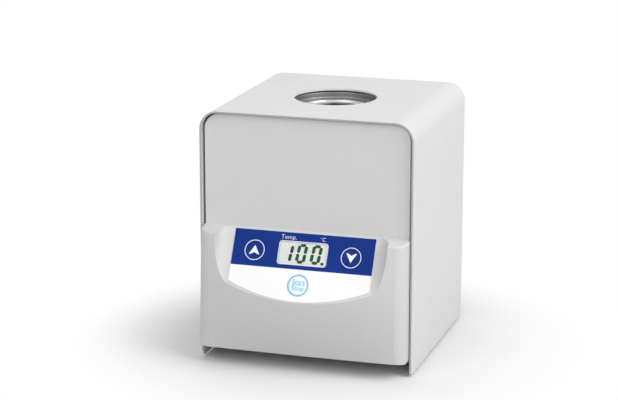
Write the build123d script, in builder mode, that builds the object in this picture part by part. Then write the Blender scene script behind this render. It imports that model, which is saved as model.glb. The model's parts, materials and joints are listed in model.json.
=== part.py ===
"""A bench-top glass bead sterilizer: a folded sheet cover over a folded chassis, a moulded front
cover with a tilted console, and a heated well of glass beads under a round opening in the top.

Millimetres. +Z is up, the front faces -Y, and the origin is the middle of the footprint on the bench.
"""

import os
from math import cos, radians, sin

from build123d import *

# The box and its sheet metal
COVER_WIDTH = 150.0
COVER_DEPTH = 146.4
COVER_TOP = 175.4
COVER_CORNER = 12.75
BENCH_GAP = 1.5
SHEET = 1.25
BEND_INSIDE = 1.0
FASCIA_BULGE = 21.0
REAR_PROUD = 2.8
FRONT_Y = -(COVER_DEPTH - FASCIA_BULGE + REAR_PROUD) / 2
BACK_Y = FRONT_Y + COVER_DEPTH
PANEL_INSET = 3.0
PANEL_SIDE_GAP = 1.6
PANEL_TOP_GAP = 0.9
PANEL_HALF = COVER_WIDTH / 2 - SHEET - PANEL_SIDE_GAP
PANEL_Y = FRONT_Y + PANEL_INSET
PANEL_TOP = COVER_TOP - SHEET - PANEL_TOP_GAP
BASE_BOTTOM = 9.5
BASE_TOP = BASE_BOTTOM + SHEET
REAR_Y = BACK_Y - SHEET
RETURN_WIDTH = 11.0

# The moulded front cover
FASCIA_HALF = 73.2
FASCIA_BOTTOM = 12.5
FASCIA_BELLY = 51.5
FASCIA_LEDGE = 96.2
LEDGE_SLOPE = 10.0
FASCIA_WALL = 2.2
FASCIA_SHOULDER = 65.5
# each section's height, and how far its middle, its shoulders and its ends stand out
FASCIA_SECTIONS = [
    (FASCIA_BOTTOM, 13.2, 12.4, 9.6),
    (FASCIA_BELLY, FASCIA_BULGE, 13.8, 6.5),
    (FASCIA_LEDGE + 2, 12.6, 9.9, 2.2),
]
RECESS_HALF = 60.8
FLANK_RADIUS = 11.0
BOSS_X = 62.0
BOSS_Z = (24.0, 84.0)

# The tilted console: its plane, its film and its keys
CONSOLE_TILT = 28.46
CONSOLE_Y = FRONT_Y - 15.38
CONSOLE_Z = 62.5
FILM_HALF = 49.7
FILM_HEIGHT = 36.5
FILM_SAG = 11.0
FILM_THICK = 0.35
KEY_RADIUS = 7.5
KEY_GAP = 0.2
KEY_X = 34.1
KEY_UP = 22.3
START_UP = 0.4
KEY_TRAVEL = 0.5
WINDOW = (33.8, 15.6)
WINDOW_UP = 22.4
WINDOW_CORNER = 1.6
DISPLAY_RECESS = 0.15
CONSOLE_WALL = 2.0
BOARD_DEPTH = 9.0
BOARD_THICK = 1.6

# The heated well
WELL_Y = FRONT_Y + 71.7
OPENING_RADIUS = 29.0
DISH_DEPTH = 7.0
DISH_Z = COVER_TOP - DISH_DEPTH
WELL_RADIUS = 20.0
WELL_WALL = 0.8
WELL_FLANGE = 28.5
WELL_FLOOR = 92.0
BEAD_TOP = DISH_Z - 13.0
HEATER_RADIUS = 23.6
CAN_RADIUS = 40.0
CAN_WALL = 1.0
CAN_BOTTOM = 83.5
STAND_HALF = 46.0

# Rear panel fittings
INLET_X = -36.0
INLET_Z = 50.0
SWITCH_X = 34.0
SWITCH_Z = 50.0

foot_places = {
    "foot_front_left": (-62, -24), "foot_front_right": (62, -24), "foot_back_left": (-62, 66),
    "foot_back_right": (62, 66),
}
stand_screw_places = [(x, WELL_Y + y) for x in (-52, 52) for y in (-22, 22)]
board_post_places = [(x, WELL_Y + y) for x in (-38, 38) for y in (-28, 28)]
earth_place = (-52, 56)
cover_screw_places = [(x, z) for x in (-68.15, 68.15) for z in (30, 150)]

console_lean = radians(CONSOLE_TILT)
console_normal = Vector(0, -cos(console_lean), sin(console_lean))
console = Plane(origin=(0, CONSOLE_Y, CONSOLE_Z), x_dir=(1, 0, 0), z_dir=console_normal)
front_in = Plane(origin=(0, PANEL_Y, 0), x_dir=(1, 0, 0), z_dir=(0, -1, 0))

os.makedirs("parts", exist_ok=True)


def save(piece, name):
    piece.part.label = name
    export_step(piece.part, f"parts/{name}.step")


def rear_plane(x, z, y=REAR_Y):
    """The plane of the rear panel's outside, with its x axis to the right as seen from the front."""
    return Plane(origin=(x, y, z), x_dir=(1, 0, 0), z_dir=(0, -1, 0))


def level(z, x=0.0, y=0.0):
    return Plane(origin=(x, y, z))


def cover_outline(plane, inset, bottom):
    """The cover's arch, seen from the front: two square feet and two round shoulders."""
    half = COVER_WIDTH / 2 - inset
    top = COVER_TOP - inset
    with BuildSketch(plane) as arch:
        with BuildLine():
            FilletPolyline(
                (-half, bottom), (-half, top), (half, top), (half, bottom), radius=COVER_CORNER - inset
            )
            Line((half, bottom), (-half, bottom))
        make_face()
    return arch.sketch


def fascia_section(z, middle, shoulder, end, inset=0.0):
    """Plan section of the front cover: a shallow arc that runs into a rounder one at each shoulder."""
    turn = Vector(FASCIA_SHOULDER - inset / 2, FRONT_Y - shoulder + inset)
    tip = Vector(FASCIA_HALF - inset, FRONT_Y - end + inset / 2)
    back = PANEL_Y if inset == 0 else PANEL_Y + 1
    with BuildSketch(level(z)) as section:
        with BuildLine():
            front = ThreePointArc((-turn.X, turn.Y), (0, FRONT_Y - middle + inset), turn)
            right = TangentArc(turn, tip, tangent=front % 1)
            mirror(right, about=Plane.YZ)
            Polyline(tip, (tip.X, back), (-tip.X, back), (-tip.X, tip.Y))
        make_face()
    return section.sketch


def film_outline(plane, inset=0.0):
    """The console film: straight sides and top, and a bottom edge that sags in an arc."""
    half = FILM_HALF - inset
    with BuildSketch(plane) as film:
        with BuildLine():
            ThreePointArc((-half, inset), (0, -FILM_SAG + inset), (half, inset))
            Polyline((half, inset), (half, FILM_HEIGHT - inset), (-half, FILM_HEIGHT - inset), (-half, inset))
        make_face()
    return film.sketch


def key_places():
    return {"up_key": (-KEY_X, KEY_UP), "down_key": (KEY_X, KEY_UP), "start_stop_key": (0, START_UP)}


# The cover is one sheet: an inverted U with narrow returns folded in at the back edge
with BuildPart() as outer_cover:
    arch_outer = cover_outline(Plane.XZ.offset(-FRONT_Y), 0, BENCH_GAP)
    extrude(arch_outer, amount=-COVER_DEPTH)
    arch_inner = cover_outline(Plane.XZ.offset(-FRONT_Y), SHEET, BENCH_GAP)
    extrude(arch_inner, amount=-(COVER_DEPTH - SHEET), mode=Mode.SUBTRACT)
    with BuildSketch(Plane.XZ.offset(-BACK_Y)) as rear_window:
        with Locations((0, (COVER_TOP - SHEET - RETURN_WIDTH) / 2)):
            Rectangle(COVER_WIDTH - 2 * (SHEET + RETURN_WIDTH), COVER_TOP - SHEET - RETURN_WIDTH)
    extrude(amount=SHEET * 2, mode=Mode.SUBTRACT)
    extrude(rear_window.sketch, amount=-SHEET, mode=Mode.SUBTRACT)
    # the lower front corners of the side walls are rounded off
    corners = outer_cover.edges().filter_by(Axis.X).group_by(Axis.Z)[0].group_by(Axis.Y)[0]
    fillet(corners, radius=3.5)
    with Locations(level(COVER_TOP, 0, WELL_Y)):
        Hole(radius=OPENING_RADIUS, depth=SHEET * 3)
    # four clearance holes for the screws through the returns
    for x, z in cover_screw_places:
        with Locations(rear_plane(x, z, BACK_Y)):
            Hole(radius=1.7, depth=SHEET * 3)
save(outer_cover, "outer_cover")

# The chassis is one folded sheet: front panel, base and rear panel, stiffened by turned-up edges
with BuildPart() as chassis:
    with BuildSketch(Plane.YZ):
        with BuildLine():
            FilletPolyline(
                (PANEL_Y, PANEL_TOP), (PANEL_Y, BASE_BOTTOM), (REAR_Y, BASE_BOTTOM), (REAR_Y, PANEL_TOP),
                radius=BEND_INSIDE + SHEET,
            )
            Line((REAR_Y, PANEL_TOP), (PANEL_Y, PANEL_TOP))
        make_face()
    extrude(amount=PANEL_HALF, both=True)
    with BuildSketch(Plane.YZ):
        with BuildLine():
            FilletPolyline(
                (PANEL_Y + SHEET, PANEL_TOP), (PANEL_Y + SHEET, BASE_TOP), (REAR_Y - SHEET, BASE_TOP),
                (REAR_Y - SHEET, PANEL_TOP), radius=BEND_INSIDE,
            )
            Line((REAR_Y - SHEET, PANEL_TOP), (PANEL_Y + SHEET, PANEL_TOP))
        make_face()
    extrude(amount=PANEL_HALF, both=True, mode=Mode.SUBTRACT)
    # both upright panels have the cover's round shoulders
    shoulder_edges = chassis.edges().filter_by(Axis.Y).group_by(Axis.Z)[-1]
    fillet(shoulder_edges, radius=COVER_CORNER - SHEET - PANEL_TOP_GAP)
    # turned-up edges along the base
    for side in (-1, 1):
        with Locations(level(BASE_TOP, side * (PANEL_HALF - SHEET / 2), (PANEL_Y + REAR_Y) / 2)):
            Box(SHEET, REAR_Y - PANEL_Y - 12, 12, align=(Align.CENTER, Align.CENTER, Align.MIN))
    # the front panel is open behind the console, and drilled for the front cover's screws
    with BuildSketch(front_in):
        with Locations((0, 60)):
            RectangleRounded(112, 64, 3)
        for x in (-BOSS_X, BOSS_X):
            for z in BOSS_Z:
                with Locations((x, z)):
                    Circle(1.6)
    extrude(amount=-SHEET, mode=Mode.SUBTRACT)
    # openings for the inlet and the switch, and a field of cooling slots
    with BuildSketch(rear_plane(0, 0)):
        with Locations((INLET_X, INLET_Z)):
            Rectangle(28.2, 47.6)
        with Locations((INLET_X, INLET_Z)):
            with GridLocations(40, 1, 2, 1):
                Circle(1.6)
        with Locations((SWITCH_X, SWITCH_Z)):
            Rectangle(19.4, 13.0)
        with Locations((0, 122)):
            with GridLocations(24, 9, 4, 5):
                SlotOverall(18, 3.2)
        for place in cover_screw_places:
            with Locations(place):
                Circle(1.3)
    extrude(amount=SHEET, mode=Mode.SUBTRACT)
    # holes in the base: feet, board spacers, stand and a grid of air slots
    with BuildSketch(level(BASE_BOTTOM)):
        for place in [*foot_places.values(), *stand_screw_places, *board_post_places, earth_place]:
            with Locations(place):
                Circle(1.7)
        with Locations((0, WELL_Y)):
            with GridLocations(30, 9, 3, 4):
                SlotOverall(22, 3.2)
    extrude(amount=SHEET, mode=Mode.SUBTRACT)
save(chassis, "chassis")


def console_recess(grow):
    """The scoop that the console lies in: a flat floor between two wide hollow flanks, open at the top."""
    floor = console.offset(-grow)
    with BuildPart() as recess:
        with BuildSketch(floor):
            Rectangle(2 * (RECESS_HALF + grow), 120)
        extrude(amount=40)
        flanks = recess.edges().filter_by(Axis((0, 0, 0), console.y_dir)).group_by(Axis.Y)[-1]
        fillet(flanks, radius=FLANK_RADIUS + grow)
    return recess.part


def fascia_body(inset):
    """The bulging form of the front cover, or the hollow inside it, under the sloping ledge."""
    slope = radians(LEDGE_SLOPE)
    ledge = Plane(origin=(0, PANEL_Y, FASCIA_LEDGE), x_dir=(1, 0, 0), z_dir=(0, -sin(slope), cos(slope)))
    bottom, belly, top = FASCIA_SECTIONS
    levels = [(bottom[0] + inset, *bottom[1:]), belly, top]
    with BuildPart() as body:
        loft([fascia_section(*place, inset).face() for place in levels])
        split(bisect_by=ledge.offset(-inset), keep=Keep.BOTTOM)
        if inset == 0:
            lip = body.faces().sort_by(Axis.Z)[-1].edges().sort_by(Axis.Y)[:-1]
            fillet(lip, radius=1.4)
    return body.part


# The front cover is one moulding: a bulging shell with a sloping ledge and a recess for the console
fascia_outside = fascia_body(0)
fascia_inside = fascia_body(FASCIA_WALL)
recess_hollow = console_recess(0)
recess_tray = fascia_outside & console_recess(CONSOLE_WALL)
with BuildPart() as fascia:
    add(fascia_outside)
    add(fascia_inside, mode=Mode.SUBTRACT)
    add(recess_tray)
    add(recess_hollow, mode=Mode.SUBTRACT)
    # holes in the console's floor for the keys and for the display
    with BuildSketch(console.offset(-CONSOLE_WALL - 0.01)):
        for x, up in key_places().values():
            with Locations((x, up)):
                Circle(KEY_RADIUS + KEY_GAP)
        with Locations((0, WINDOW_UP)):
            RectangleRounded(*WINDOW, WINDOW_CORNER)
    extrude(amount=CONSOLE_WALL + 1, mode=Mode.SUBTRACT)
    # four bosses take the screws that come through the panel
    boss_places = [(x, z) for x in (-BOSS_X, BOSS_X) for z in BOSS_Z]
    with BuildSketch(front_in):
        for place in boss_places:
            with Locations(place):
                Circle(4)
    extrude(until=Until.NEXT)
    with BuildSketch(front_in):
        for place in boss_places:
            with Locations(place):
                Circle(1.25)
    extrude(amount=7, mode=Mode.SUBTRACT)
save(fascia, "fascia")

# The film lies on the console's floor, with a hole round each key and a window for the display
with BuildPart() as control_overlay:
    extrude(film_outline(console), amount=FILM_THICK)
    with BuildSketch(console):
        for place in key_places().values():
            with Locations(place):
                Circle(KEY_RADIUS + KEY_GAP)
        with Locations((0, WINDOW_UP)):
            RectangleRounded(*WINDOW, WINDOW_CORNER)
    extrude(amount=FILM_THICK, mode=Mode.SUBTRACT)
save(control_overlay, "control_overlay")

# Each key is a flat cap with a flange that holds it behind the floor and a stem to its switch
for key_name, key_place in key_places().items():
    with BuildPart() as key:
        with BuildSketch(console.offset(-CONSOLE_WALL)):
            with Locations(key_place):
                Circle(KEY_RADIUS)
        extrude(amount=CONSOLE_WALL + FILM_THICK + 0.15)
        fillet(key.edges().group_by(lambda edge: console.to_local_coords(edge.center()).Z)[-1], radius=0.3)
        with BuildSketch(console.offset(-CONSOLE_WALL - 1.3)):
            with Locations(key_place):
                Circle(KEY_RADIUS + 1.2)
        extrude(amount=1.2)
        with BuildSketch(console.offset(-CONSOLE_WALL - 3.0)):
            with Locations(key_place):
                Circle(1.6)
        extrude(amount=3.0)
    save(key, key_name)

# The clear pane fills the film's window, flush with the film
with BuildPart() as display_window:
    with BuildSketch(console):
        with Locations((0, WINDOW_UP)):
            RectangleRounded(WINDOW[0] - 0.1, WINDOW[1] - 0.1, WINDOW_CORNER)
    extrude(amount=FILM_THICK)
save(display_window, "display_window")

# The display module stands on the board, and its raised face reaches through the floor to the pane
with BuildPart() as display_module:
    with BuildSketch(console.offset(-BOARD_DEPTH)):
        with Locations((0, WINDOW_UP)):
            RectangleRounded(WINDOW[0] + 5, WINDOW[1] + 5, 0.8)
    extrude(amount=BOARD_DEPTH - CONSOLE_WALL - 0.2)
    with BuildSketch(console):
        with Locations((0, WINDOW_UP)):
            RectangleRounded(WINDOW[0] - 0.3, WINDOW[1] - 0.3, WINDOW_CORNER)
    extrude(amount=-CONSOLE_WALL - 0.2)
    with BuildSketch(console):
        with Locations((0, WINDOW_UP)):
            RectangleRounded(WINDOW[0] - 1.1, WINDOW[1] - 1.1, WINDOW_CORNER - 0.4)
    extrude(amount=-DISPLAY_RECESS, mode=Mode.SUBTRACT)
save(display_module, "display_module")

# The control board is parallel to the console, on four short posts' screws
board_face = console.offset(-BOARD_DEPTH)
board_screw_places = [(x, y) for x in (-47, 47) for y in (2.5, 30)]
with BuildPart() as control_board:
    with BuildSketch(board_face):
        with Locations((0, 14.5)):
            RectangleRounded(101, 37, 1.5)
        for place in board_screw_places:
            with Locations(place):
                Circle(1.5, mode=Mode.SUBTRACT)
    extrude(amount=-BOARD_THICK)
save(control_board, "control_board")

with BuildPart() as control_board_screws:
    for x, up in board_screw_places:
        with BuildSketch(board_face.offset(-BOARD_THICK)):
            with Locations((x, up)):
                Circle(2.5)
        extrude(amount=-1.8)
        with BuildSketch(board_face.offset(-BOARD_THICK)):
            with Locations((x, up)):
                Circle(1.25)
        extrude(amount=BOARD_THICK + 4)
save(control_board_screws, "control_board_screws")

# A tact switch stands on the board behind each key: a square body and a round button
switch_top = -CONSOLE_WALL - 3.0 - KEY_TRAVEL - 0.1
with BuildPart() as key_switches:
    for place in key_places().values():
        with BuildSketch(board_face):
            with Locations(place):
                Rectangle(6, 6)
        extrude(amount=BOARD_DEPTH + switch_top - 0.9)
        with BuildSketch(board_face):
            with Locations(place):
                Circle(1.7)
        extrude(amount=BOARD_DEPTH + switch_top)
save(key_switches, "key_switches")

# Pan-head screws come through the panel into the front cover's bosses
with BuildPart() as fascia_screws:
    for x in (-BOSS_X, BOSS_X):
        for z in BOSS_Z:
            with BuildSketch(Plane(origin=(x, PANEL_Y + SHEET, z), x_dir=(1, 0, 0), z_dir=(0, 1, 0))):
                Circle(3.0)
            extrude(amount=2.0)
            with BuildSketch(Plane(origin=(x, PANEL_Y + SHEET, z), x_dir=(1, 0, 0), z_dir=(0, 1, 0))):
                Circle(1.25)
            extrude(amount=-7.5)
save(fascia_screws, "fascia_screws")

# The dish under the opening: an upright wall with a small rolled rim, and a flat ring round the cup
well_axis = Plane(origin=(0, WELL_Y, 0), x_dir=(1, 0, 0), z_dir=(0, -1, 0))
DISH_WALL = OPENING_RADIUS + 1.0
DISH_THICK = 0.8
RIM_Z = COVER_TOP - SHEET - 1.0
with BuildPart() as well_collar:
    with BuildSketch(well_axis):
        with BuildLine():
            wall_line = FilletPolyline(
                (WELL_RADIUS + 4.2, DISH_Z), (DISH_WALL, DISH_Z), (DISH_WALL, RIM_Z), (DISH_WALL + 3, RIM_Z),
                radius=1.2,
            )
            back_line = FilletPolyline(
                (WELL_RADIUS + 4.2, DISH_Z - DISH_THICK), (DISH_WALL + DISH_THICK, DISH_Z - DISH_THICK),
                (DISH_WALL + DISH_THICK, RIM_Z - DISH_THICK), (DISH_WALL + 3, RIM_Z - DISH_THICK), radius=1.2,
            )
            Line(wall_line @ 0, back_line @ 0)
            Line(wall_line @ 1, back_line @ 1)
        make_face()
    revolve(axis=Axis((0, WELL_Y, 0), (0, 0, 1)))
save(well_collar, "well_collar")

# The cup is drawn in one piece: a flange under the dish, a rounded mouth, and a rounded bottom
FLANGE_Z = DISH_Z - DISH_THICK
with BuildPart() as well_cup:
    with BuildSketch(well_axis):
        with BuildLine():
            inside = FilletPolyline(
                (0, WELL_FLOOR + WELL_WALL), (WELL_RADIUS, WELL_FLOOR + WELL_WALL), (WELL_RADIUS, FLANGE_Z),
                (WELL_FLANGE, FLANGE_Z), radius=1.8,
            )
            outside = FilletPolyline(
                (0, WELL_FLOOR), (WELL_RADIUS + WELL_WALL, WELL_FLOOR),
                (WELL_RADIUS + WELL_WALL, FLANGE_Z - WELL_WALL), (WELL_FLANGE, FLANGE_Z - WELL_WALL),
                radius=1.0,
            )
            Line(inside @ 0, outside @ 0)
            Line(inside @ 1, outside @ 1)
        make_face()
    revolve(axis=Axis((0, WELL_Y, 0), (0, 0, 1)))
save(well_cup, "well_cup")

# The fill of beads, with the slightly heaped top that poured beads have
with BuildPart() as bead_bed:
    with BuildSketch(well_axis):
        with BuildLine():
            Polyline(
                (0, WELL_FLOOR + WELL_WALL), (WELL_RADIUS - 1.8, WELL_FLOOR + WELL_WALL),
                (WELL_RADIUS, WELL_FLOOR + WELL_WALL + 1.8), (WELL_RADIUS, BEAD_TOP),
                (WELL_RADIUS / 2, BEAD_TOP + 1.0), (0, BEAD_TOP + 1.4), (0, WELL_FLOOR + WELL_WALL),
            )
        make_face()
    revolve(axis=Axis((0, WELL_Y, 0), (0, 0, 1)))
save(bead_bed, "bead_bed")

# A mica band heater wraps the cup, with its two ears drawn together by one screw
HEATER_LOW = 100.0
HEATER_HIGH = 150.0
EAR_Y = WELL_Y - HEATER_RADIUS
with BuildPart() as band_heater:
    with BuildSketch(level(HEATER_LOW, 0, WELL_Y)):
        Circle(HEATER_RADIUS)
        Circle(WELL_RADIUS + WELL_WALL, mode=Mode.SUBTRACT)
    extrude(amount=HEATER_HIGH - HEATER_LOW)
    with BuildSketch(level(118)):
        for x in (-2.6, 2.6):
            with Locations((x, EAR_Y - 3)):
                Rectangle(1.2, 10)
    extrude(amount=14)
    with BuildSketch(level(HEATER_LOW)):
        with Locations((0, EAR_Y)):
            Rectangle(3.6, 12)
    extrude(amount=HEATER_HIGH - HEATER_LOW, mode=Mode.SUBTRACT)
    with Locations(Plane(origin=(0, EAR_Y - 4, 125), x_dir=(0, 1, 0), z_dir=(1, 0, 0))):
        Cylinder(1.7, 12, mode=Mode.SUBTRACT)
save(band_heater, "band_heater")

with BuildPart() as heater_screw:
    with Locations(Plane(origin=(0, EAR_Y - 4, 125), x_dir=(0, 1, 0), z_dir=(1, 0, 0))):
        Cylinder(1.5, 12)
    for x in (-4.3, 4.3):
        with Locations(Plane(origin=(x, EAR_Y - 4, 125), x_dir=(0, 1, 0), z_dir=(1, 0, 0))):
            Cylinder(2.9, 2.2)
save(heater_screw, "heater_screw")

# The sensor lies against the cup below the heater, in from the right-hand side
PROBE_RADIUS = 1.5
probe_plane = Plane(origin=(WELL_RADIUS + WELL_WALL, WELL_Y, 96), x_dir=(0, 1, 0), z_dir=(1, 0, 0))
with BuildPart() as temperature_probe:
    with BuildSketch(probe_plane):
        Circle(PROBE_RADIUS)
    extrude(amount=26)
    with BuildSketch(probe_plane.offset(26)):
        Circle(2.4)
    extrude(amount=6)
save(temperature_probe, "temperature_probe")

# Ceramic fibre round the heater, with a slot for the ears, and a pad of it under the cup
SLEEVE_RADIUS = CAN_RADIUS - CAN_WALL
with BuildPart() as insulation_sleeve:
    with BuildSketch(level(WELL_FLOOR, 0, WELL_Y)):
        Circle(SLEEVE_RADIUS)
        Circle(HEATER_RADIUS, mode=Mode.SUBTRACT)
    extrude(amount=FLANGE_Z - WELL_WALL - 1.2 - WELL_FLOOR)
    with BuildSketch(level(WELL_FLOOR)):
        with Locations((0, EAR_Y - 12)):
            Rectangle(14, 30)
    extrude(amount=FLANGE_Z - WELL_FLOOR, mode=Mode.SUBTRACT)
    with BuildSketch(probe_plane):
        Circle(PROBE_RADIUS + 0.1)
    extrude(amount=CAN_RADIUS, mode=Mode.SUBTRACT)
save(insulation_sleeve, "insulation_sleeve")

with BuildPart() as insulation_pad:
    with BuildSketch(level(CAN_BOTTOM + CAN_WALL, 0, WELL_Y)):
        Circle(SLEEVE_RADIUS)
    extrude(amount=WELL_FLOOR - CAN_BOTTOM - CAN_WALL)
save(insulation_pad, "insulation_pad")

# The can holds the insulation: closed below, with an annular lid that carries the cup's flange
with BuildPart() as heat_shield:
    with BuildSketch(level(CAN_BOTTOM, 0, WELL_Y)):
        Circle(CAN_RADIUS)
    extrude(amount=FLANGE_Z - WELL_WALL - CAN_BOTTOM)
    with BuildSketch(level(CAN_BOTTOM + CAN_WALL, 0, WELL_Y)):
        Circle(SLEEVE_RADIUS)
    extrude(amount=FLANGE_Z - WELL_WALL - 1.2 - CAN_BOTTOM - CAN_WALL, mode=Mode.SUBTRACT)
    with BuildSketch(level(CAN_BOTTOM + CAN_WALL + 1, 0, WELL_Y)):
        Circle(WELL_RADIUS + WELL_WALL + 1.3)
    extrude(amount=FLANGE_Z, mode=Mode.SUBTRACT)
    # a slot in the wall lets the heater's leads out
    with BuildSketch(level(112)):
        with Locations((0, WELL_Y - CAN_RADIUS)):
            Rectangle(16, 12)
    extrude(amount=22, mode=Mode.SUBTRACT)
    with BuildSketch(probe_plane):
        Circle(PROBE_RADIUS + 0.1)
    extrude(amount=CAN_RADIUS, mode=Mode.SUBTRACT)
save(heat_shield, "heat_shield")

# The stand is one folded strip: a table under the can, two legs and two feet on the base
STAND_SHEET = 1.5
STAND_TOP = CAN_BOTTOM
with BuildPart() as well_stand:
    with BuildSketch(Plane.XZ.offset(-(WELL_Y - 30))):
        with BuildLine():
            FilletPolyline(
                (-STAND_HALF - 12, BASE_TOP + STAND_SHEET), (-STAND_HALF, BASE_TOP + STAND_SHEET),
                (-STAND_HALF, STAND_TOP), (STAND_HALF, STAND_TOP), (STAND_HALF, BASE_TOP + STAND_SHEET),
                (STAND_HALF + 12, BASE_TOP + STAND_SHEET), radius=2.0,
            )
            FilletPolyline(
                (-STAND_HALF - 12, BASE_TOP), (-STAND_HALF + STAND_SHEET, BASE_TOP),
                (-STAND_HALF + STAND_SHEET, STAND_TOP - STAND_SHEET),
                (STAND_HALF - STAND_SHEET, STAND_TOP - STAND_SHEET),
                (STAND_HALF - STAND_SHEET, BASE_TOP), (STAND_HALF + 12, BASE_TOP), radius=1.5,
            )
            Line((-STAND_HALF - 12, BASE_TOP), (-STAND_HALF - 12, BASE_TOP + STAND_SHEET))
            Line((STAND_HALF + 12, BASE_TOP), (STAND_HALF + 12, BASE_TOP + STAND_SHEET))
        make_face()
    extrude(amount=-60)
    with BuildSketch(level(BASE_TOP)):
        for place in stand_screw_places:
            with Locations(place):
                Circle(1.7)
    extrude(amount=STAND_SHEET, mode=Mode.SUBTRACT)
save(well_stand, "well_stand")

with BuildPart() as well_stand_screws:
    for place in stand_screw_places:
        with BuildSketch(level(BASE_BOTTOM - 2)):
            with Locations(place):
                Circle(3)
        extrude(amount=2)
        with BuildSketch(level(BASE_BOTTOM)):
            with Locations(place):
                Circle(1.6)
        extrude(amount=SHEET + STAND_SHEET + 2.4)
        with BuildSketch(level(BASE_TOP + STAND_SHEET)):
            with Locations(place):
                RegularPolygon(3.2, 6)
        extrude(amount=2.4)
save(well_stand_screws, "well_stand_screws")

# The over-temperature switch sits on a saddle against the can
with BuildPart() as thermal_cutout:
    with BuildSketch(Plane(origin=(CAN_RADIUS - 2, WELL_Y, 125), x_dir=(0, 1, 0), z_dir=(1, 0, 0))):
        RectangleRounded(24, 12, 3)
    extrude(amount=4)
    with BuildSketch(Plane(origin=(CAN_RADIUS + 2, WELL_Y, 125), x_dir=(0, 1, 0), z_dir=(1, 0, 0))):
        Circle(8)
    extrude(amount=6)
    with BuildSketch(Plane(origin=(CAN_RADIUS + 8, WELL_Y, 125), x_dir=(0, 1, 0), z_dir=(1, 0, 0))):
        with GridLocations(8, 1, 2, 1):
            Rectangle(0.8, 5)
    extrude(amount=7)
    with BuildSketch(level(110, 0, WELL_Y)):
        Circle(CAN_RADIUS)
    extrude(amount=30, mode=Mode.SUBTRACT)
save(thermal_cutout, "thermal_cutout")

# The mains board on its four posts, which are pressed into the base under the stand
BOARD_Z = BASE_TOP + 6
with BuildPart() as board_standoffs:
    for place in board_post_places:
        with BuildSketch(level(BASE_TOP)):
            with Locations(place):
                RegularPolygon(3.2, 6)
        extrude(amount=BOARD_Z - BASE_TOP)
        with BuildSketch(level(BASE_BOTTOM)):
            with Locations(place):
                Circle(1.68)
        extrude(amount=SHEET)
        with BuildSketch(level(BOARD_Z)):
            with Locations(place):
                Circle(1.55)
        extrude(amount=-5.2, mode=Mode.SUBTRACT)
save(board_standoffs, "board_standoffs")

with BuildPart() as power_board:
    with BuildSketch(level(BOARD_Z, 0, WELL_Y)):
        RectangleRounded(85, 66, 2)
        with GridLocations(76, 56, 2, 2):
            Circle(1.7, mode=Mode.SUBTRACT)
    extrude(amount=BOARD_THICK)
save(power_board, "power_board")

with BuildPart() as power_board_screws:
    for place in board_post_places:
        with BuildSketch(level(BOARD_Z + BOARD_THICK)):
            with Locations(place):
                Circle(3)
        extrude(amount=2)
        with BuildSketch(level(BOARD_Z + BOARD_THICK)):
            with Locations(place):
                Circle(1.5)
        extrude(amount=-(BOARD_THICK + 5))
save(power_board_screws, "power_board_screws")

# What stands on the mains board
board_top = level(BOARD_Z + BOARD_THICK, 0, WELL_Y)
with BuildPart() as transformer:
    with BuildSketch(board_top):
        with Locations((-20, -10)):
            Rectangle(32, 18)
    extrude(amount=27)
    with BuildSketch(board_top.offset(4)):
        with Locations((-20, -10)):
            RectangleRounded(19, 30, 3)
    extrude(amount=19)
save(transformer, "transformer")

with BuildPart() as relay:
    with BuildSketch(board_top):
        with Locations((14, -14)):
            Rectangle(19, 15)
    extrude(amount=15)
    fillet(relay.edges().filter_by(Axis.Z), radius=0.8)
save(relay, "relay")

with BuildPart() as heatsink:
    with BuildSketch(board_top):
        with Locations((18, 22)):
            Rectangle(34, 3)
        with Locations((18, 16.5)):
            with GridLocations(5.5, 1, 7, 1):
                Rectangle(1.4, 9)
    extrude(amount=30)
save(heatsink, "heatsink")

with BuildPart() as triac:
    with BuildSketch(board_top.offset(8)):
        with Locations((18, 25.8)):
            Rectangle(10, 4.5)
    extrude(amount=15)
    with BuildSketch(board_top):
        with Locations((18, 25.8)):
            with GridLocations(2.5, 1, 3, 1):
                Rectangle(0.8, 0.6)
    extrude(amount=8)
save(triac, "triac")

with BuildPart() as capacitor:
    with BuildSketch(board_top):
        with Locations((-22, 20)):
            RectangleRounded(18, 8, 1)
    extrude(amount=14)
save(capacitor, "capacitor")

with BuildPart() as terminal_block:
    with BuildSketch(board_top):
        with Locations((30, -12)):
            Rectangle(9, 26)
    extrude(amount=11)
    with BuildSketch(board_top.offset(11)):
        with Locations((30, -12)):
            with GridLocations(1, 6.6, 1, 4):
                Circle(2.2)
    extrude(amount=-5, mode=Mode.SUBTRACT)
save(terminal_block, "terminal_block")

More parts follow.
